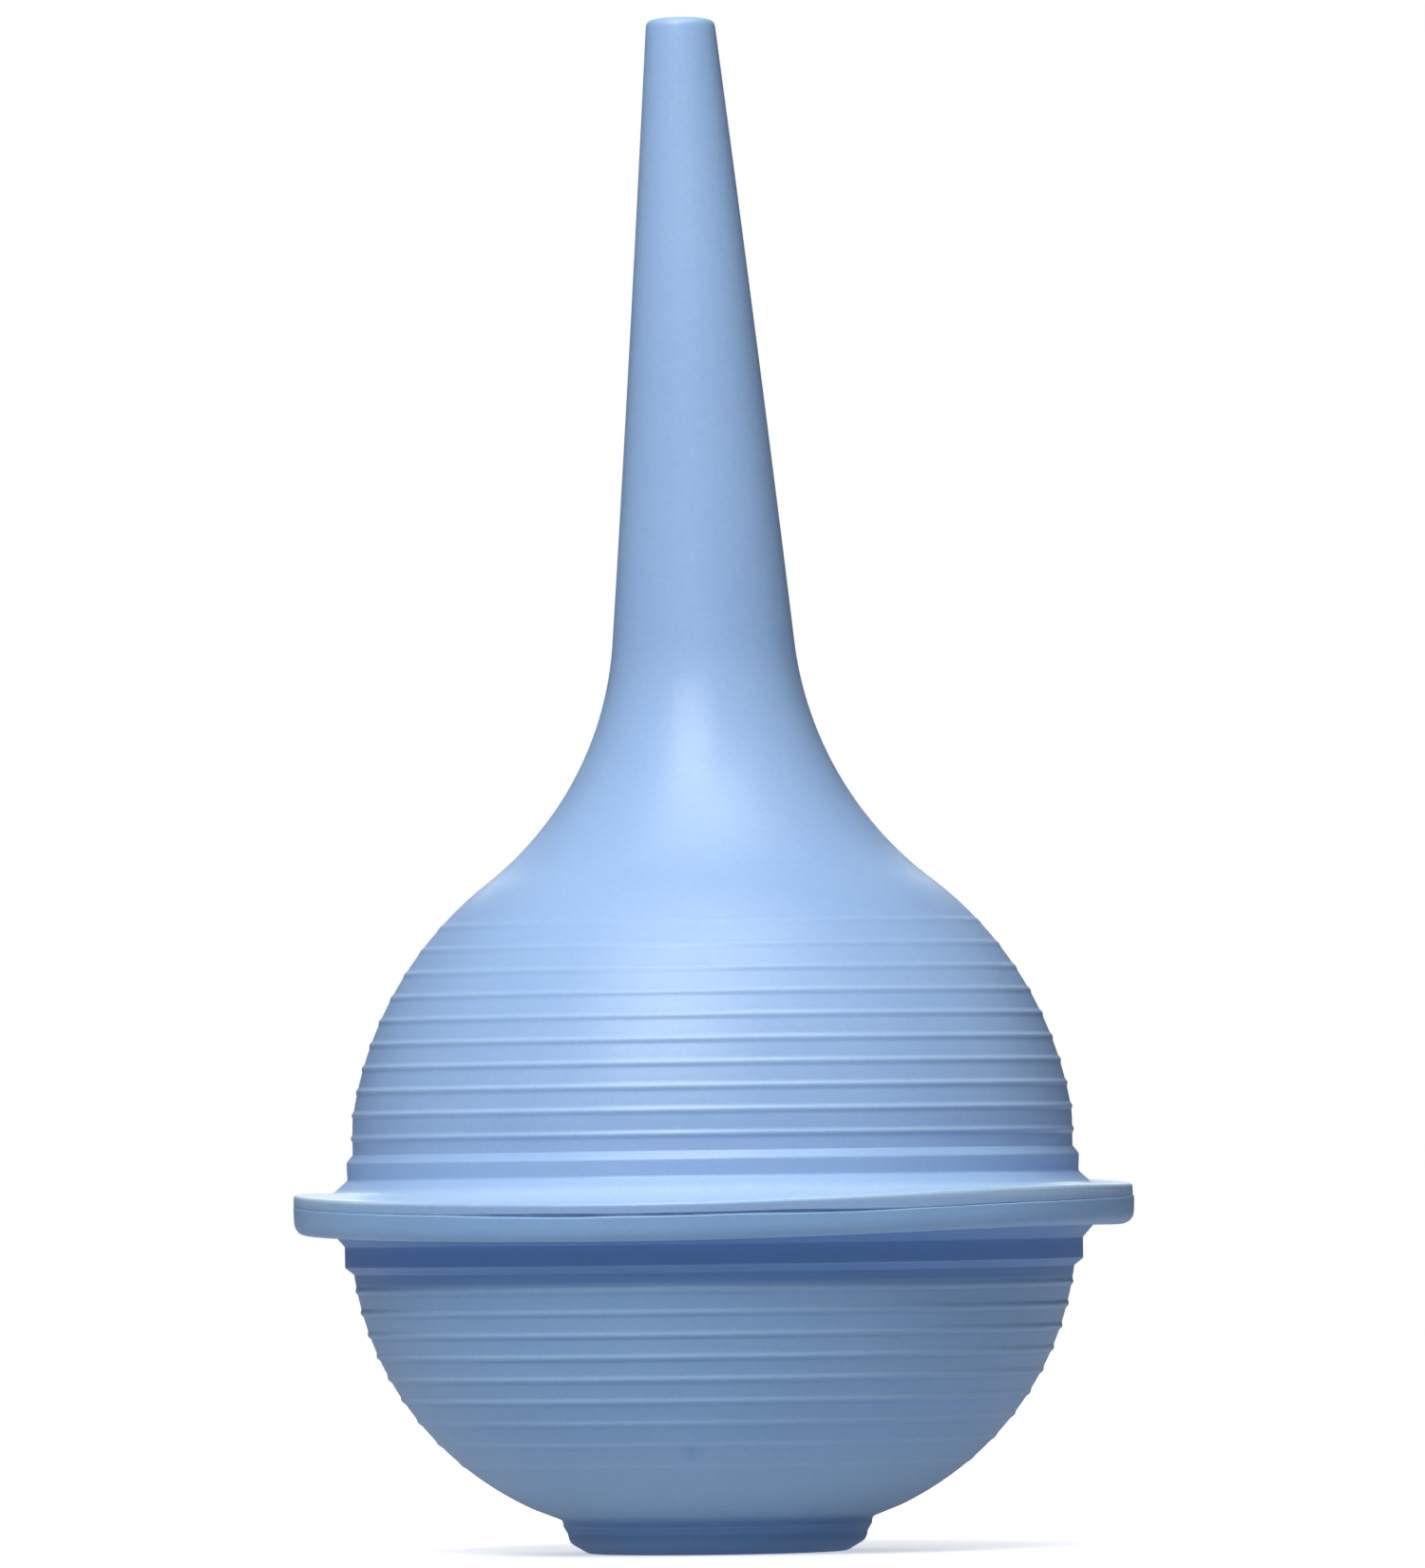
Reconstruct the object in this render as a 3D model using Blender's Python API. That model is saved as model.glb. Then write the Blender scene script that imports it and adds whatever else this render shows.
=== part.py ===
"""A nasal aspirator bulb in soft PVC: two moulded halves joined at a finger flange.

Metres, +Z up. The bulb stands on its foot, with its axis on Z and the foot's sole at z = 0.
"""

import math

import bmesh
import bpy

MM = 0.001

# Heights, from the sole of the foot to the nozzle's mouth
TOTAL_HEIGHT = 109.8 * MM
PARTING_Z = 25.1 * MM
FLANGE_TOP_Z = 25.95 * MM
FLANGE_UNDERSIDE_Z = 23.05 * MM
UPPER_COLLAR_TOP_Z = 28.9 * MM
LOWER_COLLAR_FOOT_Z = 20.15 * MM
FOOT_TOP_Z = 2.3 * MM

# Radii of the outside
BULB_RADIUS = 25.75 * MM
FLANGE_RADIUS = 30.05 * MM
UPPER_COLLAR_RADIUS = 26.15 * MM
LOWER_COLLAR_RADIUS = 26.4 * MM
SHOULDER_RADIUS = 27.2 * MM
FOOT_RADIUS = 10.75 * MM
FLANGE_EDGE_RADIUS = 0.9 * MM
FOOT_EDGE_RADIUS = 0.65 * MM
FOOT_DRAFT = 0.3 * MM

# The nozzle is a straight taper that a concave fillet joins to a round dome
NOZZLE_TIP_RADIUS = 2.43 * MM
NOZZLE_TAPER = 0.0913
NOZZLE_EDGE_RADIUS = 0.7 * MM
NECK_FILLET_RADIUS = 24.3 * MM
DOME_RADIUS = 26.0 * MM
DOME_CENTRE_Z = 27.4 * MM

# The soft nozzle has a slight set towards -X, which starts at the neck
NOZZLE_SET = 1.2 * MM
NOZZLE_SET_START_Z = 52.0 * MM
NOZZLE_SET_POWER = 1.4

# The bowl under the flange is a slightly squared ellipse
BOWL_HALF_WIDTH = 26.05 * MM
BOWL_DEPTH = 23.95 * MM
BOWL_CENTRE_Z = 24.5 * MM
BOWL_POWER = 2.18

# Walls and bore
WALL = 1.9 * MM
BORE_TIP_RADIUS = 1.1 * MM
BORE_TAPER = 0.055
BORE_FILLET_RADIUS = 27.0 * MM
FLOOR_THICKNESS = 2.9 * MM

# Grip beads, half-round rings round both domes
BEAD_HEIGHT = 0.18 * MM
BEAD_WIDTH = 1.0 * MM
FADING_BEADS = 3
UPPER_BEADS = 10
UPPER_BEAD_PITCH = 1.67 * MM
UPPER_BEAD_START_Z = 29.92 * MM
LOWER_BEADS = 9
LOWER_BEAD_PITCH = 1.57 * MM
LOWER_BEAD_START_Z = 18.65 * MM

# The cement ring that joins the halves, in its groove in the lower flange
JOINT_GAP = 0.3 * MM
BOND_RADIUS = 28.5 * MM
BOND_WIDTH = 0.8 * MM
BOND_HEIGHT = 0.6 * MM

# Facets
SEGMENTS = 48
EDGE_STEPS = 3
NOZZLE_STEPS = 8
NECK_STEPS = 9
INNER_STEPS = 9
MERGE_DISTANCE = 0.001 * MM
SHARP_ANGLE = math.radians(35)


def clear_scene():
    for old in list(bpy.data.objects):
        bpy.data.objects.remove(old, do_unlink=True)


def soft_plastic(name, colour, roughness):
    """A Principled material for one moulding."""
    material = bpy.data.materials.new(name)
    material.use_nodes = True
    shader = material.node_tree.nodes["Principled BSDF"]
    shader.inputs["Base Color"].default_value = (*colour, 1.0)
    shader.inputs["Roughness"].default_value = roughness
    shader.inputs["Metallic"].default_value = 0.0
    return material


def steps_between(first, last, count):
    """Count + 1 evenly spaced values from first to last."""
    return [first + (last - first) * index / count for index in range(count + 1)]


def rounded_corner(centre_r, centre_z, radius, first_degrees, last_degrees):
    """Points along a corner's arc, by the angle of its outward normal above the horizontal."""
    return [
        (
            centre_r + radius * math.cos(math.radians(angle)),
            centre_z + radius * math.sin(math.radians(angle)),
        )
        for angle in steps_between(first_degrees, last_degrees, EDGE_STEPS)
    ]


def nozzle_and_dome(tip_radius, taper, fillet_radius, dome_radius, widest):
    """The radius at a height, as a function, and the heights where the fillet starts and ends.

    A straight taper runs down from the tip, and a concave fillet leads it into a round dome.
    """
    slope = math.atan(taper)
    across, along = (math.cos(slope), math.sin(slope)), (-math.sin(slope), math.cos(slope))
    reach = (tip_radius + taper * TOTAL_HEIGHT) * math.cos(slope) + fillet_radius
    from_dome = (reach * across[0], reach * across[1] - DOME_CENTRE_Z)
    half = from_dome[0] * along[0] + from_dome[1] * along[1]
    apart = from_dome[0] ** 2 + from_dome[1] ** 2 - (dome_radius + fillet_radius) ** 2
    slide = math.sqrt(half * half - apart) - half
    centre_r = reach * across[0] + slide * along[0]
    centre_z = reach * across[1] + slide * along[1]
    fillet_top = centre_z - fillet_radius * across[1]
    share = fillet_radius / (dome_radius + fillet_radius)
    fillet_foot = centre_z + (DOME_CENTRE_Z - centre_z) * share

    def radius_at(z):
        if z >= fillet_top:
            return tip_radius + taper * (TOTAL_HEIGHT - z)
        if z >= fillet_foot:
            return centre_r - math.sqrt(fillet_radius**2 - (z - centre_z) ** 2)
        return min(widest, math.sqrt(dome_radius**2 - (z - DOME_CENTRE_Z) ** 2))

    return radius_at, fillet_top, fillet_foot


def bowl(half_width, depth, centre_z):
    """The radius of the lower bowl at a height, as a function."""

    def radius_at(z):
        drop = max(centre_z - z, 0.0) / depth
        return half_width * max(1.0 - drop**BOWL_POWER, 0.0) ** (1.0 / BOWL_POWER)

    return radius_at


def beads(radius_at, first_z, pitch, count):
    """Points along a wall with grip beads, each a low ridge that stands out along the wall's normal."""
    points = []
    for index in range(count):
        z = first_z + pitch * index
        height = BEAD_HEIGHT * min(1.0, (count - index) / FADING_BEADS)
        toward = math.copysign(BEAD_WIDTH / 2, pitch)
        before, after = z - toward, z + toward
        rise_r = radius_at(after) - radius_at(before)
        rise_z = after - before
        length = math.hypot(rise_r, rise_z)
        out_r, out_z = abs(rise_z) / length, -math.copysign(rise_r, rise_r * rise_z) / length
        points.append((radius_at(before), before))
        points.append((radius_at(z) + height * out_r, z + height * out_z))
        points.append((radius_at(after), after))
    return points


def turned(name, profile, material):
    """One closed body from a closed profile of (radius, height) points, turned round Z."""
    mesh = bpy.data.meshes.new(name)
    shape = bmesh.new()
    ring = [shape.verts.new((radius, 0.0, height)) for radius, height in profile]
    edges = [shape.edges.new(pair) for pair in zip(ring, ring[1:] + ring[:1])]
    bmesh.ops.spin(
        shape,
        geom=ring + edges,
        cent=(0.0, 0.0, 0.0),
        axis=(0.0, 0.0, 1.0),
        angle=math.tau,
        steps=SEGMENTS,
        use_merge=True,
    )
    bmesh.ops.remove_doubles(shape, verts=shape.verts, dist=MERGE_DISTANCE)
    bmesh.ops.dissolve_degenerate(shape, edges=shape.edges, dist=MERGE_DISTANCE)
    bmesh.ops.recalc_face_normals(shape, faces=shape.faces)
    shape.to_mesh(mesh)
    shape.free()
    mesh.shade_smooth()
    mesh.set_sharp_from_angle(angle=SHARP_ANGLE)
    mesh.materials.append(material)
    body = bpy.data.objects.new(name, mesh)
    bpy.context.scene.collection.objects.link(body)
    return body


def lean_nozzle(body):
    """Bends the nozzle towards -X, smoothly from the neck up."""
    for vertex in body.data.vertices:
        above = max(vertex.co.z - NOZZLE_SET_START_Z, 0.0) / (TOTAL_HEIGHT - NOZZLE_SET_START_Z)
        vertex.co.x -= NOZZLE_SET * above**NOZZLE_SET_POWER


def nozzle_half(material):
    """The upper moulding: nozzle, ribbed dome, collar and the flange's upper leaf."""
    outside, neck_top, neck_foot = nozzle_and_dome(
        NOZZLE_TIP_RADIUS, NOZZLE_TAPER, NECK_FILLET_RADIUS, DOME_RADIUS, BULB_RADIUS
    )
    inside, bore_foot, chamber_top = nozzle_and_dome(
        BORE_TIP_RADIUS, BORE_TAPER, BORE_FILLET_RADIUS, DOME_RADIUS - WALL, BULB_RADIUS - WALL
    )
    edge_z = TOTAL_HEIGHT - NOZZLE_EDGE_RADIUS
    leaf_z = PARTING_Z + JOINT_GAP / 2
    chamber_straight_z = UPPER_COLLAR_TOP_Z + BEAD_WIDTH

    profile = [(BORE_TIP_RADIUS, TOTAL_HEIGHT)]
    profile += rounded_corner(outside(edge_z) - NOZZLE_EDGE_RADIUS, edge_z, NOZZLE_EDGE_RADIUS, 90, 0)
    profile += [(outside(z), z) for z in steps_between(edge_z, neck_top, NOZZLE_STEPS)[1:]]
    profile += [(outside(z), z) for z in steps_between(neck_top, neck_foot, NECK_STEPS)[1:]]
    profile += reversed(beads(outside, UPPER_BEAD_START_Z, UPPER_BEAD_PITCH, UPPER_BEADS))
    profile += [
        (BULB_RADIUS, UPPER_COLLAR_TOP_Z),
        (UPPER_COLLAR_RADIUS, UPPER_COLLAR_TOP_Z - 0.7 * MM),
        (UPPER_COLLAR_RADIUS, FLANGE_TOP_Z + 0.95 * MM),
        (SHOULDER_RADIUS, FLANGE_TOP_Z),
        (FLANGE_RADIUS, FLANGE_TOP_Z),
        (FLANGE_RADIUS, leaf_z),
        (BULB_RADIUS - WALL, leaf_z),
        (BULB_RADIUS - WALL, chamber_straight_z),
    ]
    profile += [(inside(z), z) for z in steps_between(chamber_straight_z, chamber_top, INNER_STEPS)[1:]]
    profile += [(inside(z), z) for z in steps_between(chamber_top, bore_foot, INNER_STEPS)[1:]]
    profile += [(inside(z), z) for z in steps_between(bore_foot, TOTAL_HEIGHT, NOZZLE_STEPS)[1:-1]]

    body = turned("nozzle_half", profile, material)
    lean_nozzle(body)
    return body


def base_half(material):
    """The lower moulding: the flange's lower leaf, collar, ribbed bowl and foot."""
    outside = bowl(BOWL_HALF_WIDTH, BOWL_DEPTH, BOWL_CENTRE_Z)
    inside = bowl(BULB_RADIUS - WALL, BOWL_CENTRE_Z - FLOOR_THICKNESS, BOWL_CENTRE_Z)
    leaf_z = PARTING_Z - JOINT_GAP / 2
    groove_half_width = BOND_WIDTH / 2 + JOINT_GAP
    groove_z = leaf_z - BOND_HEIGHT - JOINT_GAP
    chamber_radius = BULB_RADIUS - WALL

    profile = [
        (chamber_radius, leaf_z),
        (BOND_RADIUS - groove_half_width, leaf_z),
        (BOND_RADIUS - groove_half_width, groove_z),
        (BOND_RADIUS + groove_half_width, groove_z),
        (BOND_RADIUS + groove_half_width, leaf_z),
        (FLANGE_RADIUS, leaf_z),
    ]
    profile += rounded_corner(
        FLANGE_RADIUS - FLANGE_EDGE_RADIUS, FLANGE_UNDERSIDE_Z + FLANGE_EDGE_RADIUS, FLANGE_EDGE_RADIUS, 0, -90
    )
    profile += [
        (SHOULDER_RADIUS, FLANGE_UNDERSIDE_Z),
        (LOWER_COLLAR_RADIUS, FLANGE_UNDERSIDE_Z - 0.9 * MM),
        (LOWER_COLLAR_RADIUS, LOWER_COLLAR_FOOT_Z + 0.5 * MM),
        (outside(LOWER_COLLAR_FOOT_Z), LOWER_COLLAR_FOOT_Z),
    ]
    profile += beads(outside, LOWER_BEAD_START_Z, -LOWER_BEAD_PITCH, LOWER_BEADS)
    profile += [(outside(z), z) for z in (4.4 * MM, 3.3 * MM)]
    profile += [(FOOT_RADIUS + FOOT_DRAFT, FOOT_TOP_Z), (FOOT_RADIUS, FOOT_TOP_Z - 2 * FOOT_DRAFT)]
    profile += rounded_corner(
        FOOT_RADIUS - FOOT_DRAFT - FOOT_EDGE_RADIUS, FOOT_EDGE_RADIUS, FOOT_EDGE_RADIUS, 0, -90
    )
    profile += [(0.0, 0.0), (0.0, FLOOR_THICKNESS)]
    rising = [math.sin(angle) for angle in steps_between(0.0, math.pi / 2, 2 * INNER_STEPS)]
    lifts = [1.0 - math.sqrt(1.0 - step * step) for step in rising]
    profile += [
        (inside(z), z)
        for z in (FLOOR_THICKNESS + (BOWL_CENTRE_Z - FLOOR_THICKNESS) * lift for lift in lifts[1:])
    ]
    return turned("base_half", profile, material)


def seam_bond_ring(material):
    """The ring of cured cement between the flange's two leaves."""
    top = PARTING_Z - JOINT_GAP / 2
    bottom = top - BOND_HEIGHT
    inner, outer = BOND_RADIUS - BOND_WIDTH / 2, BOND_RADIUS + BOND_WIDTH / 2
    return turned("seam_bond_ring", [(inner, top), (outer, top), (outer, bottom), (inner, bottom)], material)


clear_scene()
nozzle_half(soft_plastic("upper_soft_pvc", (0.36, 0.55, 0.86), 0.42))
base_half(soft_plastic("lower_soft_pvc", (0.33, 0.52, 0.82), 0.45))
seam_bond_ring(soft_plastic("cured_cement", (0.10, 0.20, 0.42), 0.5))
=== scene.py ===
"""A soft PVC nasal aspirator bulb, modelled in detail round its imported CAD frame.

Metres, +Z up, with the foot's sole at z = 0 and the bulb's axis on Z. The front faces -Y.
"""

import math

import bmesh
import bpy
from mathutils import Matrix, Vector


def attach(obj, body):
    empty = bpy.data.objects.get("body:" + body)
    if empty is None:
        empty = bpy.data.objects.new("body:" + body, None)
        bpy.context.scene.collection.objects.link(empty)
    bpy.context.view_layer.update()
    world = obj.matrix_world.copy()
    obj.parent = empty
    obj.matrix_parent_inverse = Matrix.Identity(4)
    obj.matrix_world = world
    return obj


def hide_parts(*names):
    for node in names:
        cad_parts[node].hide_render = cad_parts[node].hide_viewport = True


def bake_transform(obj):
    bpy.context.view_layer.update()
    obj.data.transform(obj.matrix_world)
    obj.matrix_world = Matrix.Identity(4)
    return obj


MM = 0.001

# Heights, from the sole to the nozzle's mouth
TOTAL_HEIGHT = 109.8 * MM
PARTING_Z = 25.1 * MM
FLANGE_TOP_Z = 25.95 * MM
FLANGE_UNDERSIDE_Z = 23.05 * MM
UPPER_COLLAR_TOP_Z = 28.9 * MM
LOWER_COLLAR_FOOT_Z = 20.15 * MM
FOOT_TOP_Z = 2.3 * MM

# Radii of the outside
BULB_RADIUS = 25.75 * MM
FLANGE_RADIUS = 30.05 * MM
UPPER_COLLAR_RADIUS = 26.15 * MM
LOWER_COLLAR_RADIUS = 26.4 * MM
SHOULDER_RADIUS = 27.2 * MM
FOOT_RADIUS = 10.75 * MM

# The nozzle's straight taper, the concave neck and the round dome
NOZZLE_TIP_RADIUS = 2.43 * MM
NOZZLE_TAPER = 0.0913
NECK_FILLET_RADIUS = 24.3 * MM
DOME_RADIUS = 26.0 * MM
DOME_CENTRE_Z = 27.4 * MM

# The soft nozzle's slight set towards -X
NOZZLE_SET = 1.2 * MM
NOZZLE_SET_START_Z = 52.0 * MM
NOZZLE_SET_POWER = 1.4

# The bowl under the flange is a slightly squared ellipse
BOWL_HALF_WIDTH = 26.05 * MM
BOWL_DEPTH = 23.95 * MM
BOWL_CENTRE_Z = 24.5 * MM
BOWL_POWER = 2.18

# Walls and bore
WALL = 1.9 * MM
BORE_TIP_RADIUS = 1.1 * MM
BORE_TAPER = 0.055
BORE_FILLET_RADIUS = 27.0 * MM
FLOOR_THICKNESS = 2.9 * MM

# Grip beads round both halves. The heights go from the bead by the flange to the last one
BEAD_WIDTH = 0.66 * MM
# Painted shade in the crease under each bead, as a share of the painted highlight on its crest
CREASE_SHADE = 0.35
UPPER_BEAD_START_Z = 29.88 * MM
UPPER_BEAD_PITCH = 1.665 * MM
UPPER_BEAD_HEIGHTS = [
    high * MM for high in (0.125, 0.125, 0.12, 0.11, 0.105, 0.095, 0.085, 0.07, 0.055, 0.035)
]
LOWER_BEAD_START_Z = 18.97 * MM
LOWER_BEAD_PITCH = 1.57 * MM
LOWER_BEAD_HEIGHTS = [high * MM for high in (0.12, 0.14, 0.14, 0.135, 0.125, 0.115, 0.095, 0.07, 0.05)]

# The flange is soft: it is bent down near the front and up on the other side, about its root
BEND = 0.22
BEND_DEEPEST_DEGREES = -18.0
BEND_ROOT_RADIUS = 26.3 * MM
BEND_ROOT_Z = 24.5 * MM
BEND_REACH = 1.6 * MM

# The rim is not quite round outside this radius
RIM_START_RADIUS = 29.6 * MM
RIM_BLEND = 0.3 * MM

# The seam on the flange's edge, a slot that the cement fills unevenly
SEAM_CLOSED_GAP = 0.02 * MM
SEAM_LIP_RISE = 0.115 * MM
SEAM_DEPTH = 0.75 * MM
SEAM_WIDEST_DEGREES = -6.0
SEAM_HALF_SPAN_DEGREES = 35.0
SEAM_END_DEGREES = 14.0
SEAM_LIP_REACH = 0.42 * MM

# On the right the seam sags from the middle of the rim: each end has its angle and its fade
SEAM_SAG = 0.28 * MM
SEAM_SAG_START_DEGREES = (2.0, 26.0)
SEAM_SAG_END_DEGREES = (90.0, 40.0)
SEAM_SAG_RADIUS = 28.8 * MM
SEAM_SAG_REACH = 0.8 * MM

# The cement's ring in the slot
CEMENT_INNER_RADIUS = 29.55 * MM
CEMENT_OUTER_RADIUS = 30.0 * MM
CEMENT_HALF_HEIGHT = 0.13 * MM
CEMENT_CORNER = 0.04 * MM
CEMENT_SINK = 0.13 * MM
CEMENT_LEAST_HEIGHT = 0.06

# A faint dimple that the mould left low on the bowl's front
MARK_DEGREES = -5.4
MARK_Z = 7.5 * MM
MARK_RADIUS = 1.1 * MM
MARK_DEPTH = 0.07 * MM

# Convex corners are rubbed paler, from a gentle curvature to a tight one
EDGE_WEAR = 0.15
LEAST_WORN_CURVATURE = 0.6 / MM
FULLY_WORN_CURVATURE = 3.0 / MM
SHORTEST_STEP = 0.01 * MM

# Mesh density
SEGMENTS = 200
CORNER_STEPS = 6
COARSE_STEP = 0.6 * MM
FINE_STEP = 0.11 * MM
LINING_STEP_RADIANS = 0.045
AXIS_RADIUS = 1e-7


# ---------------------------------------------------------------- profiles


def steps_between(first, last, longest):
    """Evenly spaced values from first to last, no further apart than longest."""
    count = max(1, math.ceil(abs(last - first) / longest))
    return [first + (last - first) * index / count for index in range(count + 1)]


def smoothstep(value):
    value = min(max(value, 0.0), 1.0)
    return value * value * (3.0 - 2.0 * value)


def between(value, low, low_fade, high, high_fade):
    """1 where a value lies between low and high and 0 outside, with a soft change at each end."""
    return smoothstep((value - low) / low_fade) * smoothstep((high - value) / high_fade)


def soft_minimum(first, second, softness):
    """The smaller of two values, with a rounded change from one to the other."""
    apart = math.hypot(first - second, softness)
    return (first + second - apart) / 2


def rounded(corners):
    """A path through (radius, height, corner radius) points, with an arc at each inner corner."""
    path = [Vector(corners[0][:2])]
    for before, corner, after in zip(corners, corners[1:], corners[2:]):
        point = Vector(corner[:2])
        arriving = (point - Vector(before[:2])).normalized()
        leaving = (Vector(after[:2]) - point).normalized()
        turn = arriving.angle_signed(leaving)
        if corner[2] <= 0.0 or abs(turn) < 1e-4:
            path.append(point)
            continue
        reach = corner[2] * math.tan(abs(turn) / 2)
        start = point - arriving * reach
        toward = (leaving - arriving).normalized()
        centre = point + toward * (corner[2] / math.cos(turn / 2))
        for index in range(CORNER_STEPS + 1):
            spoke = start - centre
            spoke.rotate(Matrix.Rotation(-turn * index / CORNER_STEPS, 2))
            path.append(centre + spoke)
    path.append(Vector(corners[-1][:2]))
    return path


def filled(path, longest):
    """The same path with its long straights divided."""
    points = [path[0]]
    for start, end in zip(path, path[1:]):
        count = max(1, math.ceil((end - start).length / longest))
        points += [start.lerp(end, index / count) for index in range(1, count + 1)]
    return points


def nozzle_and_dome(tip_radius, taper, fillet_radius, dome_radius, widest):
    """The radius at a height, as a function, and the heights where the fillet starts and ends."""
    slope = math.atan(taper)
    across, along = (math.cos(slope), math.sin(slope)), (-math.sin(slope), math.cos(slope))
    reach = (tip_radius + taper * TOTAL_HEIGHT) * math.cos(slope) + fillet_radius
    from_dome = (reach * across[0], reach * across[1] - DOME_CENTRE_Z)
    half = from_dome[0] * along[0] + from_dome[1] * along[1]
    apart = from_dome[0] ** 2 + from_dome[1] ** 2 - (dome_radius + fillet_radius) ** 2
    slide = math.sqrt(half * half - apart) - half
    centre_r = reach * across[0] + slide * along[0]
    centre_z = reach * across[1] + slide * along[1]
    fillet_top = centre_z - fillet_radius * across[1]
    share = fillet_radius / (dome_radius + fillet_radius)
    fillet_foot = centre_z + (DOME_CENTRE_Z - centre_z) * share

    def radius_at(z):
        if z >= fillet_top:
            return tip_radius + taper * (TOTAL_HEIGHT - z)
        if z >= fillet_foot:
            return centre_r - math.sqrt(fillet_radius**2 - (z - centre_z) ** 2)
        return soft_minimum(widest, math.sqrt(dome_radius**2 - (z - DOME_CENTRE_Z) ** 2), 0.04 * MM)

    return radius_at, fillet_top, fillet_foot


def bowl(half_width, depth):
    """The radius of the lower bowl at a height, as a function."""

    def radius_at(z):
        drop = max(BOWL_CENTRE_Z - z, 0.0) / depth
        return half_width * max(1.0 - drop**BOWL_POWER, 0.0) ** (1.0 / BOWL_POWER)

    return radius_at


def bead_rise(z, first_z, pitch, heights):
    """How far the grip beads stand out of the wall at a height."""
    nearest = round((z - first_z) / pitch)
    if not 0 <= nearest < len(heights):
        return 0.0
    away = abs(z - first_z - pitch * nearest) / (BEAD_WIDTH / 2)
    if away >= 1.0:
        return 0.0
    return heights[nearest] * (0.5 + 0.5 * math.cos(math.pi * away))


def beaded_wall(radius_at, heights_z, first_z, pitch, heights):
    """Points down a wall at these heights, moved out along the wall's normal by the beads."""
    points = []
    probe = 0.05 * MM
    for z in heights_z:
        rise = bead_rise(z, first_z, pitch, heights)
        tangent = Vector((radius_at(z + probe) - radius_at(z - probe), 2 * probe)).normalized()
        normal = Vector((tangent.y, -tangent.x))
        points.append(Vector((radius_at(z), z)) + normal * rise)
    return points


def upper_profile():
    """The upper moulding's closed section: nozzle, dome, collar, flange leaf, then its inside."""
    outside, neck_top, neck_foot = nozzle_and_dome(
        NOZZLE_TIP_RADIUS, NOZZLE_TAPER, NECK_FILLET_RADIUS, DOME_RADIUS, BULB_RADIUS
    )
    inside, bore_foot, chamber_top = nozzle_and_dome(
        BORE_TIP_RADIUS, BORE_TAPER, BORE_FILLET_RADIUS, DOME_RADIUS - WALL, BULB_RADIUS - WALL
    )
    tip_foot = TOTAL_HEIGHT - 1.6 * MM
    bead_top = UPPER_BEAD_START_Z + UPPER_BEAD_PITCH * len(UPPER_BEAD_HEIGHTS)
    collar_foot = UPPER_COLLAR_TOP_Z + 0.35 * MM
    leaf_z = PARTING_Z + SEAM_CLOSED_GAP / 2
    chamber_radius = BULB_RADIUS - WALL

    mouth = rounded([
        (inside(tip_foot), tip_foot, 0.0),
        (BORE_TIP_RADIUS, TOTAL_HEIGHT, 0.2 * MM),
        (outside(TOTAL_HEIGHT), TOTAL_HEIGHT, 0.7 * MM),
        (outside(tip_foot), tip_foot, 0.0),
    ])
    nozzle = [Vector((outside(z), z)) for z in steps_between(tip_foot, neck_top, COARSE_STEP)[1:]]
    neck = [Vector((outside(z), z)) for z in steps_between(neck_top, bead_top, COARSE_STEP / 2)[1:]]
    dome = beaded_wall(
        outside, steps_between(bead_top, collar_foot, FINE_STEP)[1:],
        UPPER_BEAD_START_Z, UPPER_BEAD_PITCH, UPPER_BEAD_HEIGHTS,
    )
    collar = rounded([
        (outside(collar_foot), collar_foot, 0.0),
        (BULB_RADIUS, UPPER_COLLAR_TOP_Z - 0.2 * MM, 0.12 * MM),
        (UPPER_COLLAR_RADIUS + 0.05 * MM, UPPER_COLLAR_TOP_Z - 0.75 * MM, 0.35 * MM),
        (UPPER_COLLAR_RADIUS, FLANGE_TOP_Z + 0.95 * MM, 0.3 * MM),
        (SHOULDER_RADIUS, FLANGE_TOP_Z, 0.9 * MM),
        (FLANGE_RADIUS - 0.08 * MM, FLANGE_TOP_Z, 0.28 * MM),
        (FLANGE_RADIUS - 0.05 * MM, leaf_z, 0.05 * MM),
        (FLANGE_RADIUS - SEAM_DEPTH, leaf_z, 0.0),
        (chamber_radius, leaf_z, 0.3 * MM),
        (chamber_radius, UPPER_COLLAR_TOP_Z + 1.0 * MM, 0.0),
    ])
    chamber_foot = UPPER_COLLAR_TOP_Z + 1.0 * MM
    lining = [
        Vector((inside(z), z))
        for start, end in ((chamber_foot, chamber_top), (chamber_top, bore_foot), (bore_foot, tip_foot))
        for z in steps_between(start, end, 2 * COARSE_STEP)[1:]
    ]
    return mouth + nozzle + neck + dome + filled(collar, 0.25 * MM)[1:] + lining[:-1]


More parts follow.
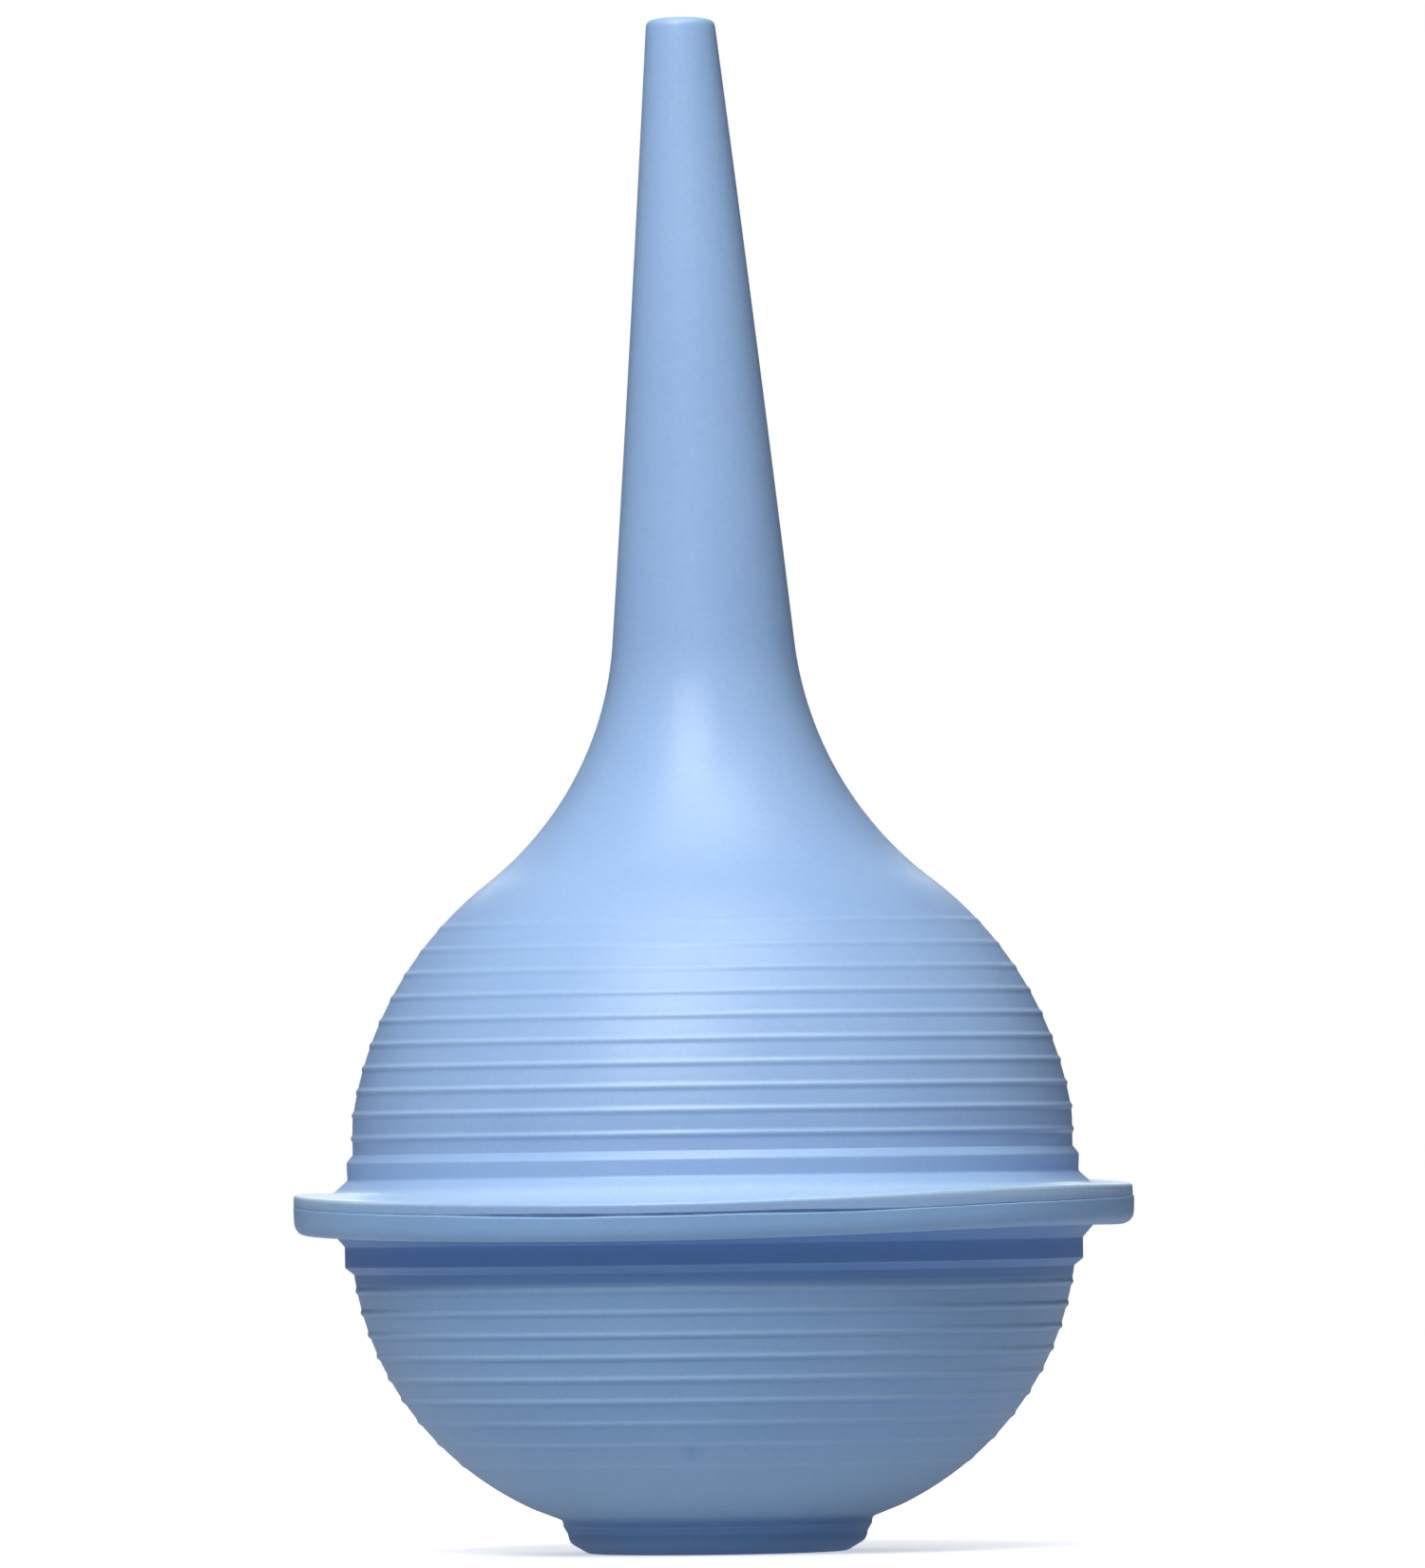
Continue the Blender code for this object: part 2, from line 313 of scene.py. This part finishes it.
def lower_profile():
    """The lower moulding's closed section: flange leaf, collar, bowl and foot, then its inside."""
    outside = bowl(BOWL_HALF_WIDTH, BOWL_DEPTH)
    inside = bowl(BULB_RADIUS - WALL, BOWL_CENTRE_Z - FLOOR_THICKNESS)
    leaf_z = PARTING_Z - SEAM_CLOSED_GAP / 2
    chamber_radius = BULB_RADIUS - WALL
    bead_top = LOWER_COLLAR_FOOT_Z - 0.35 * MM
    foot_meet = 3.2 * MM

    flange = rounded([
        (chamber_radius, BOWL_CENTRE_Z, 0.0),
        (chamber_radius, leaf_z, 0.3 * MM),
        (FLANGE_RADIUS - SEAM_DEPTH, leaf_z, 0.0),
        (FLANGE_RADIUS + 0.02 * MM, leaf_z, 0.1 * MM),
        (FLANGE_RADIUS, FLANGE_UNDERSIDE_Z + 1.05 * MM, 1.6 * MM),
        (FLANGE_RADIUS - 0.12 * MM, FLANGE_UNDERSIDE_Z, 0.85 * MM),
        (SHOULDER_RADIUS, FLANGE_UNDERSIDE_Z, 0.35 * MM),
        (LOWER_COLLAR_RADIUS, FLANGE_UNDERSIDE_Z - 0.9 * MM, 0.25 * MM),
        (LOWER_COLLAR_RADIUS, LOWER_COLLAR_FOOT_Z + 0.5 * MM, 0.2 * MM),
        (outside(LOWER_COLLAR_FOOT_Z), LOWER_COLLAR_FOOT_Z, 0.12 * MM),
        (outside(bead_top), bead_top, 0.0),
    ])
    wall = beaded_wall(
        outside, steps_between(bead_top, foot_meet, FINE_STEP)[1:],
        LOWER_BEAD_START_Z, -LOWER_BEAD_PITCH, LOWER_BEAD_HEIGHTS,
    )
    foot = rounded([
        (outside(foot_meet), foot_meet, 0.0),
        (FOOT_RADIUS + 0.35 * MM, FOOT_TOP_Z + 0.1 * MM, 0.3 * MM),
        (FOOT_RADIUS + 0.3 * MM, FOOT_TOP_Z - 0.35 * MM, 0.25 * MM),
        (FOOT_RADIUS, 1.45 * MM, 0.3 * MM),
        (FOOT_RADIUS - 0.15 * MM, 0.8 * MM, 0.8 * MM),
        (FOOT_RADIUS - 1.5 * MM, 0.0, 0.8 * MM),
        (7.3 * MM, 0.0, 0.25 * MM),
        (6.9 * MM, 0.22 * MM, 0.25 * MM),
        (2.3 * MM, 0.22 * MM, 0.15 * MM),
        (1.9 * MM, 0.06 * MM, 0.25 * MM),
        (0.0, 0.06 * MM, 0.0),
    ])
    rises = [math.sin(angle) for angle in steps_between(0.0, math.pi / 2, LINING_STEP_RADIANS)]
    lifts = [1.0 - math.sqrt(1.0 - rise * rise) for rise in rises]
    floor = [
        Vector((inside(z), z))
        for z in (FLOOR_THICKNESS + (BOWL_CENTRE_Z - FLOOR_THICKNESS) * lift for lift in lifts)
    ]
    return filled(flange, 0.25 * MM)[1:] + wall + filled(foot, 0.3 * MM)[1:] + floor


# ---------------------------------------------------------------- departures from true round


def ripple(angle, *waves):
    """A sum of sines round the axis, each (count, phase, size)."""
    return sum(size * math.sin(count * angle + phase) for count, phase, size in waves)


def front_degrees(angle):
    """The angle from the front, positive towards +X, in degrees from -180 to 180."""
    return (math.degrees(angle) + 90.0 + 180.0) % 360.0 - 180.0


def seam_opening(angle):
    """How far the seam's slot is open here, from 0 to 1."""
    from_front = front_degrees(angle)
    front = smoothstep((SEAM_HALF_SPAN_DEGREES - abs(from_front - SEAM_WIDEST_DEGREES)) / SEAM_END_DEGREES)
    front *= 0.8 + ripple(angle, (9, 0.4, 0.12), (23, 1.9, 0.14))
    behind = max(-math.cos(math.radians(from_front)), 0.0)
    back = behind * (0.55 + ripple(angle, (5, 2.2, 0.3), (13, 0.7, 0.2)))
    return min(max(front, back, 0.0), 1.0)


def seam_sag(radius, z, from_front):
    """How far a point of the rim is let down, so that the seam sags on the right."""
    sag = SEAM_SAG * between(from_front, *SEAM_SAG_START_DEGREES, *SEAM_SAG_END_DEGREES)
    outward = smoothstep((radius - SEAM_SAG_RADIUS) / SEAM_SAG_REACH)
    return sag * outward * (1.0 - smoothstep(abs(z - PARTING_Z) / SEAM_SAG_REACH))


def bent(radius, z, angle):
    """A point of the flange's section, turned about the flange's root by its bend at this angle."""
    from_front = front_degrees(angle)
    z -= seam_sag(radius, z, from_front)
    toward_front = math.cos(math.radians(from_front - BEND_DEEPEST_DEGREES))
    bend = BEND * toward_front * abs(toward_front)
    bend += ripple(angle, (3, 0.9, 0.012), (5, 2.4, 0.008))
    bend *= smoothstep((radius - BEND_ROOT_RADIUS) / BEND_REACH)
    out, up = radius - BEND_ROOT_RADIUS, z - BEND_ROOT_Z
    return (
        BEND_ROOT_RADIUS + out * math.cos(bend) + up * math.sin(bend),
        BEND_ROOT_Z + up * math.cos(bend) - out * math.sin(bend),
    )


def lip_weight(radius, z):
    """1 at the seam's lips and 0 away from them."""
    along = smoothstep((radius - (FLANGE_RADIUS - SEAM_DEPTH)) / (0.2 * MM))
    return along * (1.0 - smoothstep(abs(z - PARTING_Z) / SEAM_LIP_REACH))


def rim_weight(radius):
    """1 on the rim's outer face and 0 inside it."""
    return smoothstep((radius - RIM_START_RADIUS) / RIM_BLEND)


def mark_weight(radius, z, angle):
    """1 in the middle of the shallow dimple low on the bowl's front, and 0 outside it."""
    sideways = radius * math.radians(front_degrees(angle) - MARK_DEGREES)
    return 1.0 - smoothstep(math.hypot(sideways, z - MARK_Z) / MARK_RADIUS)


def upper_shape(radius, z, angle):
    """Where a point of the upper moulding's section lies, turned to this angle."""
    above = max(z - NOZZLE_SET_START_Z, 0.0) / (TOTAL_HEIGHT - NOZZLE_SET_START_Z)
    lean = NOZZLE_SET * above**NOZZLE_SET_POWER
    if z < UPPER_COLLAR_TOP_Z and radius > BEND_ROOT_RADIUS:
        z += lip_weight(radius, z) * SEAM_LIP_RISE * seam_opening(angle)
        radius += rim_weight(radius) * ripple(angle, (4, 1.1, 0.03 * MM), (19, 0.2, 0.012 * MM))
        radius, z = bent(radius, z, angle)
    return radius * math.cos(angle) - lean, radius * math.sin(angle), z


def lower_shape(radius, z, angle):
    """Where a point of the lower moulding's section lies, turned to this angle."""
    if radius > BEND_ROOT_RADIUS:
        z -= lip_weight(radius, z) * SEAM_LIP_RISE * seam_opening(angle)
        radius += rim_weight(radius) * ripple(angle, (3, 2.0, 0.03 * MM), (17, 1.2, 0.012 * MM))
        radius, z = bent(radius, z, angle)
    elif z < LOWER_COLLAR_FOOT_Z:
        radius -= MARK_DEPTH * mark_weight(radius, z, angle)
    return radius * math.cos(angle), radius * math.sin(angle), z


def cement_shape(radius, z, angle):
    """The cement's ring, squeezed out unevenly where the seam is open."""
    outer = smoothstep((radius - CEMENT_INNER_RADIUS + 0.05 * MM) / (0.3 * MM))
    opening = seam_opening(angle)
    lumps = ripple(angle, (31, 0.5, 0.02 * MM), (53, 2.5, 0.015 * MM), (7, 0.3, 0.02 * MM))
    radius += outer * (lumps - CEMENT_SINK) * opening
    height = CEMENT_LEAST_HEIGHT + (1.0 - CEMENT_LEAST_HEIGHT) * opening
    radius, z = bent(radius, PARTING_Z + (z - PARTING_Z) * height, angle)
    return radius * math.cos(angle), radius * math.sin(angle), z


# ---------------------------------------------------------------- meshes


def bead_highlight_and_shade(z, first_z, pitch, heights):
    """Above 0 where a highlight is painted on a grip bead's crest, and below 0 where shade is painted in
    the crease under it.
    """
    nearest = round((z + 0.12 * MM - first_z) / pitch)
    if not 0 <= nearest < len(heights):
        return 0.0
    across = (z - first_z - pitch * nearest) / (BEAD_WIDTH / 2)
    crest = max(1.0 - abs(across - 0.3) / 0.6, 0.0)
    crease = max(1.0 - abs(across + 0.85) / 0.55, 0.0)
    return (smoothstep(crest) - CREASE_SHADE * smoothstep(crease)) * heights[nearest] / max(heights)


def painted_light_and_shade(point):
    """0 where light is painted on, 1 where shade is painted on, 0.5 elsewhere."""
    radius, z = math.hypot(point.x, point.y), point.z
    # Painted shade on the foot, in the bowl's shadow
    foot = smoothstep((2.9 * MM - z) / (0.6 * MM))
    # Painted shade on the lower collar and under the flange, where the flange overhangs it
    collar = between(z, 20.0 * MM, 0.4 * MM, 23.4 * MM, 0.5 * MM)
    collar *= between(radius, 26.1 * MM, 0.2 * MM, 28.8 * MM, 0.8 * MM)
    # Painted shadow of the lower collar on the bowl just below it
    under = between(z, 19.1 * MM, 0.5 * MM, 21.0 * MM, 0.5 * MM)
    # The mould's dimple is a little deeper in colour, and is left out of the painted light below
    mark = mark_weight(radius, z, math.atan2(point.y, point.x))
    deep = max(0.7 * foot, collar, under, 0.2 * mark)
    # Painted light: paler towards the bottom of the bowl, where light from below falls, but not on the foot
    painted_low_light = smoothstep((10.0 * MM - z) / (5.5 * MM)) * (1.0 - foot) * (1.0 - mark)
    # Painted highlight on the upper flange's shoulder and top
    ledge_highlight = smoothstep((radius - 26.6 * MM) / (0.7 * MM)) * smoothstep((z - 25.05 * MM) / (0.3 * MM))
    # Painted highlight on the grip beads' crests and painted shade in their creases
    tone = 0.5 * bead_highlight_and_shade(z, UPPER_BEAD_START_Z, UPPER_BEAD_PITCH, UPPER_BEAD_HEIGHTS)
    tone += bead_highlight_and_shade(z, LOWER_BEAD_START_Z, -LOWER_BEAD_PITCH, LOWER_BEAD_HEIGHTS)
    pale = max(0.55 * painted_low_light, 0.75 * ledge_highlight) + tone
    return min(max(0.5 + 0.5 * deep - 0.5 * pale, 0.0), 1.0)


def edge_wear(before, point, after):
    """How rubbed a point of a section is: 1 on a tight convex corner, 0 on flats, hollows and beads."""
    beaded = bead_rise(point.y, UPPER_BEAD_START_Z, UPPER_BEAD_PITCH, UPPER_BEAD_HEIGHTS)
    beaded += bead_rise(point.y, LOWER_BEAD_START_Z, -LOWER_BEAD_PITCH, LOWER_BEAD_HEIGHTS)
    if beaded > 0.0 or point.x < AXIS_RADIUS:
        return 0.0
    arriving, leaving = point - before, after - point
    length = max((arriving.length + leaving.length) / 2, SHORTEST_STEP)
    curvature = arriving.angle_signed(leaving, 0.0) / length
    return smoothstep((curvature - LEAST_WORN_CURVATURE) / (FULLY_WORN_CURVATURE - LEAST_WORN_CURVATURE))


def finish_mesh(name, shape, wear, material):
    """A smooth-shaded object from a bmesh, which remembers each point's place at rest for its texture."""
    mesh = bpy.data.meshes.new(name)
    bmesh.ops.recalc_face_normals(shape, faces=shape.faces)
    shape.to_mesh(mesh)
    shape.free()
    mesh.shade_smooth()
    rest = mesh.attributes.new("rest", "FLOAT_VECTOR", "POINT")
    places = [0.0] * (3 * len(mesh.vertices))
    mesh.vertices.foreach_get("co", places)
    rest.data.foreach_set("vector", places)
    # The depth attribute holds the painted light and shade, made paler by the rubbed wear on convex corners
    depth = mesh.attributes.new("depth", "FLOAT", "POINT")
    depths = [painted_light_and_shade(vertex.co) - EDGE_WEAR * wear_and_highlight for vertex, wear_and_highlight in zip(mesh.vertices, wear)]
    depth.data.foreach_set("value", [max(value, 0.0) for value in depths])
    mesh.materials.append(material)
    piece = bpy.data.objects.new(name, mesh)
    bpy.context.scene.collection.objects.link(piece)
    return piece


def turned(name, profile, place, material, segments=SEGMENTS):
    """A closed body from a closed section, turned round Z. place(radius, z, angle) puts each point."""
    shape = bmesh.new()
    angles = [math.tau * index / segments for index in range(segments)]
    rings, wear = [], []
    for before, point, after in zip(profile[-1:] + profile[:-1], profile, profile[1:] + profile[:1]):
        radius, z = point
        if radius < AXIS_RADIUS:
            rings.append([shape.verts.new(place(0.0, z, 0.0))] * segments)
            wear.append(0.0)
        else:
            rings.append([shape.verts.new(place(radius, z, angle)) for angle in angles])
            wear += [edge_wear(before, point, after)] * segments
    for ring, below in zip(rings, rings[1:] + rings[:1]):
        for index in range(segments):
            after = (index + 1) % segments
            corners = [ring[index], ring[after], below[after], below[index]]
            distinct = [corner for spot, corner in enumerate(corners) if corner not in corners[:spot]]
            if len(distinct) > 2:
                shape.faces.new(distinct)
    return finish_mesh(name, shape, wear, material)


# ---------------------------------------------------------------- materials

# The painted shade is a much deeper blue, and the grain is speckled with a duller blue
SHADE_BLUE = (0.16, 0.34, 0.72)
SPECKLE_BLUE = (0.16, 0.33, 0.62)


def link(tree, source, socket, target, name):
    tree.links.new(source.outputs[socket], target.inputs[name])


def node(tree, kind, **values):
    """A shader node with its properties, and with the inputs named in values set."""
    made = tree.nodes.new(kind)
    for key, value in values.items():
        if key in made.bl_rna.properties:
            setattr(made, key, value)
        else:
            made.inputs[key.replace("_", " ")].default_value = value
    return made


def noise(tree, where, scale, detail=3.0):
    made = node(tree, "ShaderNodeTexNoise", Scale=scale, Detail=detail)
    link(tree, where, "Vector", made, "Vector")
    return made


def ranged(tree, source, socket, before, after):
    """The source's span from before[0] to before[1], spread over after[0] to after[1]."""
    made = node(tree, "ShaderNodeMapRange")
    for name, value in zip(("From Min", "From Max", "To Min", "To Max"), (*before, *after)):
        made.inputs[name].default_value = value
    link(tree, source, socket, made, "Value")
    return made


def remapped(tree, source, socket, low, high):
    """A noise's usual 0.3 to 0.7 spread over low to high."""
    return ranged(tree, source, socket, (0.3, 0.7), (low, high))


def mixed(tree, factor, socket, first, second):
    """A colour mix of two sockets or plain colours."""
    made = node(tree, "ShaderNodeMix", data_type="RGBA")
    link(tree, factor, socket, made, "Factor")
    for name, colour in (("A", first), ("B", second)):
        target = next(i for i in made.inputs if i.name == name and i.type == "RGBA")
        if isinstance(colour, tuple):
            target.default_value = (*colour, 1.0)
        else:
            tree.links.new(colour, target)
    return next(o for o in made.outputs if o.type == "RGBA")


def soft_pvc(name, pale, deep, wear_and_highlight, roughness):
    """Satin soft PVC: cloudy colour, paler rubbed edges, painted highlights and painted shade, a fine grain
    and faint turning marks.
    """
    material = bpy.data.materials.new(name)
    material.use_nodes = True
    tree = material.node_tree
    shader = tree.nodes["Principled BSDF"]
    shader.inputs["IOR"].default_value = 1.5
    shader.inputs["Subsurface Weight"].default_value = 0.12
    shader.inputs["Subsurface Scale"].default_value = 1.2 * MM
    shader.inputs["Subsurface Radius"].default_value = (0.35, 0.55, 1.0)
    where = node(tree, "ShaderNodeAttribute", attribute_name="rest")

    clouds = noise(tree, where, 70.0)
    grain = noise(tree, where, 2400.0, detail=2.0)
    colour = mixed(tree, remapped(tree, clouds, "Fac", 0.0, 1.0), "Result", pale, deep)
    depth = node(tree, "ShaderNodeAttribute", attribute_name="depth")
    # Below 0.5 the depth mixes in the paler colour: rubbed wear on convex corners, and painted highlights
    # and light
    colour = mixed(tree, ranged(tree, depth, "Fac", (0.5, 0.0), (0.0, 1.0)), "Result", colour, wear_and_highlight)
    # Above 0.5 the depth mixes in the deep blue of the painted shade
    colour = mixed(tree, ranged(tree, depth, "Fac", (0.5, 1.0), (0.0, 1.0)), "Result", colour, SHADE_BLUE)
    colour = mixed(tree, remapped(tree, grain, "Fac", 0.0, 0.10), "Result", colour, SPECKLE_BLUE)
    tree.links.new(colour, shader.inputs["Base Color"])

    smears = noise(tree, where, 160.0, detail=4.0)
    sheen = remapped(tree, smears, "Fac", roughness - 0.05, roughness + 0.06)
    link(tree, sheen, "Result", shader, "Roughness")

    turning = node(tree, "ShaderNodeTexNoise", Scale=1.0, Detail=2.0)
    flat = node(tree, "ShaderNodeMapping")
    flat.inputs["Scale"].default_value = (40.0, 40.0, 2600.0)
    link(tree, where, "Vector", flat, "Vector")
    link(tree, flat, "Vector", turning, "Vector")
    fine = node(tree, "ShaderNodeBump", Strength=0.10, Distance=0.02 * MM)
    link(tree, grain, "Fac", fine, "Height")
    lines = node(tree, "ShaderNodeBump", Strength=0.08, Distance=0.02 * MM)
    link(tree, turning, "Fac", lines, "Height")
    link(tree, fine, "Normal", lines, "Normal")
    peel = node(tree, "ShaderNodeBump", Strength=0.12, Distance=0.12 * MM)
    link(tree, noise(tree, where, 380.0, detail=1.0), "Fac", peel, "Height")
    link(tree, lines, "Normal", peel, "Normal")
    link(tree, peel, "Normal", shader, "Normal")
    return material


def cement(name):
    """Dark glossy cement, with uneven colour and a lumpy surface."""
    material = bpy.data.materials.new(name)
    material.use_nodes = True
    tree = material.node_tree
    shader = tree.nodes["Principled BSDF"]
    where = node(tree, "ShaderNodeAttribute", attribute_name="rest")
    lumps = noise(tree, where, 700.0)
    blend = remapped(tree, lumps, "Fac", 0.0, 1.0)
    colour = mixed(tree, blend, "Result", (0.17, 0.31, 0.58), (0.26, 0.43, 0.74))
    tree.links.new(colour, shader.inputs["Base Color"])
    link(tree, remapped(tree, lumps, "Fac", 0.35, 0.55), "Result", shader, "Roughness")
    bump = node(tree, "ShaderNodeBump", Strength=0.3, Distance=0.05 * MM)
    link(tree, lumps, "Fac", bump, "Height")
    link(tree, bump, "Normal", shader, "Normal")
    return material


# ---------------------------------------------------------------- stage, lights and camera

FLOOR_RADIUS = 1.2
FLOOR_GREY = (0.43, 0.44, 0.46)

# The floor glows faintly round the foot, like a light table
LIT_RADIUS = 70 * MM
LIT_STRENGTH = 0.20

# To the camera the floor glows near white, and less round the foot, so that a faint shadow shows there
SEEN_GREY = (0.9, 0.9, 0.9)
SEEN_GLOW = 0.94
SEEN_GLOW_AT_FOOT = 0.45

# The lights face this height on the axis, from this far away
LIGHT_AIM_Z = 50 * MM
LIGHT_DISTANCE = 0.9

# The camera's sensor and lens are in millimetres, as Blender has them
SENSOR_WIDTH = 36.0
FOCAL_LENGTH = 371.0
NEAREST_SEEN, FARTHEST_SEEN = 0.05, 20.0
CAMERA_X = 0.36 * MM
CAMERA_DISTANCE = 1.156
CAMERA_Z = 28.0 * MM
CAMERA_AIM_Z = 54.9 * MM
CAMERA_ROLL_DEGREES = -0.8


def stage_material():
    """A pale studio floor. It looks near white, and sends little light back up."""
    material = bpy.data.materials.new("pale_floor")
    material.use_nodes = True
    tree = material.node_tree
    shader = tree.nodes["Principled BSDF"]
    shader.inputs["Roughness"].default_value = 0.9
    shader.inputs["Specular IOR Level"].default_value = 0.1
    rays = node(tree, "ShaderNodeLightPath")
    seen = mixed(tree, rays, "Is Camera Ray", FLOOR_GREY, SEEN_GREY)
    tree.links.new(seen, shader.inputs["Base Color"])
    where = node(tree, "ShaderNodeTexCoord")
    spread = node(tree, "ShaderNodeMapping")
    spread.inputs["Scale"].default_value = (1.0 / LIT_RADIUS,) * 3
    link(tree, where, "Object", spread, "Vector")
    pool = node(tree, "ShaderNodeTexGradient", gradient_type="SPHERICAL")
    link(tree, spread, "Vector", pool, "Vector")
    glow = node(tree, "ShaderNodeMath", operation="MULTIPLY")
    link(tree, ranged(tree, pool, "Fac", (0.0, 1.0), (SEEN_GLOW, SEEN_GLOW_AT_FOOT)), "Result", glow, 0)
    link(tree, rays, "Is Camera Ray", glow, 1)
    lit = node(tree, "ShaderNodeMath", operation="MULTIPLY")
    lit.inputs[1].default_value = LIT_STRENGTH
    link(tree, pool, "Fac", lit, 0)
    total = node(tree, "ShaderNodeMath", operation="MAXIMUM")
    tree.links.new(glow.outputs[0], total.inputs[0])
    tree.links.new(lit.outputs[0], total.inputs[1])
    shader.inputs["Emission Color"].default_value = (1.0, 1.0, 1.0, 1.0)
    tree.links.new(total.outputs[0], shader.inputs["Emission Strength"])
    return material


def stage_floor():
    mesh = bpy.data.meshes.new("studio_floor")
    shape = bmesh.new()
    bmesh.ops.create_circle(shape, cap_ends=True, segments=96, radius=FLOOR_RADIUS)
    shape.to_mesh(mesh)
    shape.free()
    mesh.materials.append(stage_material())
    floor = bpy.data.objects.new("studio_floor", mesh)
    bpy.context.scene.collection.objects.link(floor)


def studio_world(fill):
    """A white background that sends only a faint light of its own."""
    world = bpy.data.worlds.new("studio")
    bpy.context.scene.world = world
    world.use_nodes = True
    tree = world.node_tree
    background = tree.nodes["Background"]
    rays = node(tree, "ShaderNodeLightPath")
    seen = mixed(tree, rays, "Is Camera Ray", (fill, fill, fill), (1.0, 1.0, 1.0))
    tree.links.new(seen, background.inputs["Color"])
    background.inputs["Strength"].default_value = 1.0


def softbox(name, azimuth, elevation, width, height, power):
    """An area light that faces the bulb. Azimuth is from the front, positive towards +X."""
    data = bpy.data.lights.new(name, "AREA")
    data.shape = "RECTANGLE"
    data.size, data.size_y = width, height
    data.energy = power
    light = bpy.data.objects.new(name, data)
    bpy.context.scene.collection.objects.link(light)
    turn, lift = math.radians(azimuth), math.radians(elevation)
    toward = Vector((math.sin(turn) * math.cos(lift), -math.cos(turn) * math.cos(lift), math.sin(lift)))
    light.location = Vector((0.0, 0.0, LIGHT_AIM_Z)) + toward * LIGHT_DISTANCE
    light.rotation_mode = "QUATERNION"
    light.rotation_quaternion = toward.to_track_quat("Z", "Y")
    light.visible_camera = False


def front_camera():
    """A long lens at the height of the flange, tipped up slightly and rolled by the bulb's lean."""
    data = bpy.data.cameras.new("front_camera")
    data.sensor_width = SENSOR_WIDTH
    data.lens = FOCAL_LENGTH
    data.clip_start, data.clip_end = NEAREST_SEEN, FARTHEST_SEEN
    camera = bpy.data.objects.new("front_camera", data)
    bpy.context.scene.collection.objects.link(camera)
    eye = Vector((CAMERA_X, -CAMERA_DISTANCE, CAMERA_Z))
    aim = Vector((CAMERA_X, 0.0, CAMERA_AIM_Z))
    facing = (aim - eye).to_track_quat("-Z", "Y").to_matrix()
    roll = Matrix.Rotation(math.radians(CAMERA_ROLL_DEGREES), 3, "Z")
    camera.matrix_world = Matrix.Translation(eye) @ (facing @ roll).to_4x4()
    bpy.context.scene.camera = camera


# ---------------------------------------------------------------- the scene

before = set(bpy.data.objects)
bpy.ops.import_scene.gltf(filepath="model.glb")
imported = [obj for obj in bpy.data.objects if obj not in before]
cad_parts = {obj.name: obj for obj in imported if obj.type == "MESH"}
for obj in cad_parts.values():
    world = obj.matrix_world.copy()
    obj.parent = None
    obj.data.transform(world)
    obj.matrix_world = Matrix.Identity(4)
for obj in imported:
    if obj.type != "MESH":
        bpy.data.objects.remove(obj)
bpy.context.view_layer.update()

upper_pvc = soft_pvc(
    "upper_soft_pvc",
    pale=(0.385, 0.583, 0.905), deep=(0.355, 0.548, 0.875), wear_and_highlight=(0.52, 0.71, 0.95), roughness=0.38,
)
# The lower moulding's blue is a little deeper than the upper's, as painted shade on the half that faces
# down
lower_pvc = soft_pvc(
    "lower_soft_pvc",
    pale=(0.335, 0.565, 0.90), deep=(0.305, 0.53, 0.87), wear_and_highlight=(0.445, 0.68, 0.95), roughness=0.42,
)

upper = turned("upper_moulding", upper_profile(), upper_shape, upper_pvc)
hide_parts("nozzle_half")
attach(upper, "upper")

lower = turned("lower_moulding", lower_profile(), lower_shape, lower_pvc)
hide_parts("base_half")
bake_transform(lower)

ring_profile = rounded([
    (CEMENT_INNER_RADIUS, PARTING_Z + CEMENT_HALF_HEIGHT, 0.0),
    (CEMENT_OUTER_RADIUS, PARTING_Z + CEMENT_HALF_HEIGHT, CEMENT_CORNER),
    (CEMENT_OUTER_RADIUS, PARTING_Z - CEMENT_HALF_HEIGHT, CEMENT_CORNER),
    (CEMENT_INNER_RADIUS, PARTING_Z - CEMENT_HALF_HEIGHT, 0.0),
])
seam = turned("seam_cement", ring_profile, cement_shape, cement("cured_cement"), segments=2 * SEGMENTS)
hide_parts("seam_bond_ring")
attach(seam, "upper")

stage_floor()
studio_world(fill=0.01)
softbox("key_light", azimuth=-20, elevation=46, width=0.5, height=0.5, power=6.0)
softbox("top_light", azimuth=-8, elevation=78, width=0.6, height=0.5, power=2.7)
softbox("side_light", azimuth=42, elevation=64, width=0.5, height=0.4, power=1.3)
softbox("back_light", azimuth=180, elevation=28, width=0.5, height=0.4, power=2.2)
front_camera()
bpy.context.scene.view_settings.view_transform = "Standard"
